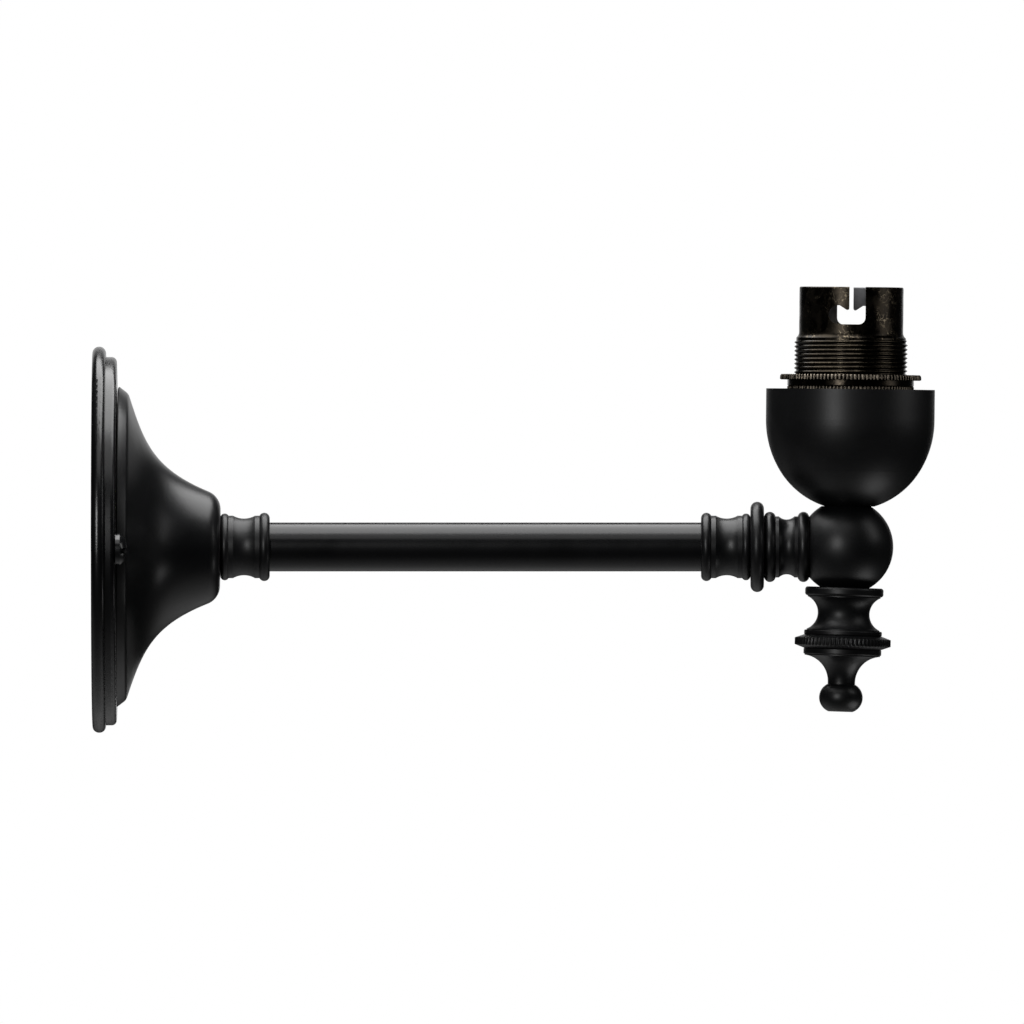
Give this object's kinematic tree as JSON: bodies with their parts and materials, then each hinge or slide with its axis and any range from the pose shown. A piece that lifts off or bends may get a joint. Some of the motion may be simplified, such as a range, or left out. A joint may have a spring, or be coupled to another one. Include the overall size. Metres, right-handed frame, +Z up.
{
  "type": "lamp wall bracket",
  "caption": "Black wall lamp bracket: stepped round plate, bell rose, straight arm with turned collars, ball fitting, cup with a bayonet lampholder, and a turned finial.",
  "frame": {"origin": "on the wall, on the arm's axis: the point of the strap's back face that the arm points away from", "axes": "+X out of the wall along the arm, +Z up towards the lampholder's mouth, +Y across the wall"},
  "size_m": [0.2182, 0.1, 0.1155],
  "materials": {
    "satin_black": "satin powder coat",
    "bronzed_brass": "dark bronzed, rubbed bright on edges",
    "plain_brass": "plain turned",
    "zinc_steel": "bright zinc plate",
    "moulded_insert": "moulded, matt",
    "nylon": "natural nylon",
    "brown_insulation": "smooth sleeving",
    "blue_insulation": "smooth sleeving",
    "green_insulation": "smooth sleeving"
  },
  "bodies": {
    "bracket": {"wall_strap": "zinc_steel", "wall_plate": "satin_black", "fixing_screws": "satin_black", "rose": "satin_black", "rose_screws": "zinc_steel", "back_washer": "zinc_steel", "back_nut": "zinc_steel", "arm_tube": "satin_black", "base_collar": "satin_black", "outer_collar": "satin_black", "disc_ring": "satin_black", "ball_collar": "satin_black", "ball_fitting": "satin_black", "head_nipple": "plain_brass", "cup": "satin_black", "cup_nut": "zinc_steel", "holder_cap": "bronzed_brass", "insulator": "moulded_insert", "contact_sleeves": "plain_brass", "sleeve_screws": "zinc_steel", "spring_left": "zinc_steel", "spring_right": "zinc_steel", "holder_barrel": "bronzed_brass", "shade_ring": "bronzed_brass", "lock_ring": "bronzed_brass", "spool": "satin_black", "knurled_ring": "satin_black", "finial": "satin_black", "finial_stud": "zinc_steel", "terminal_block": "nylon", "block_inserts": "plain_brass", "block_screws": "zinc_steel", "block_bolts": "zinc_steel", "earth_screw": "plain_brass", "earth_tag": "zinc_steel", "live_wire": "brown_insulation", "neutral_wire": "blue_insulation", "earth_wire": "green_insulation"},
    "left_contact": {"plunger_left": "plain_brass"},
    "right_contact": {"plunger_right": "plain_brass"}
  },
  "joints": [
    {"name": "left_contact_slide", "type": "slide", "parent": "bracket", "child": "left_contact", "axis": [-0.0105, 0, -0.9999], "range_m": [0, 0.0035], "stiffness_N_per_m": 1500, "deforming": ["spring_left"]},
    {"name": "right_contact_slide", "type": "slide", "parent": "bracket", "child": "right_contact", "axis": [-0.0105, 0, -0.9999], "range_m": [0, 0.0035], "stiffness_N_per_m": 1500, "deforming": ["spring_right"]}
  ]
}
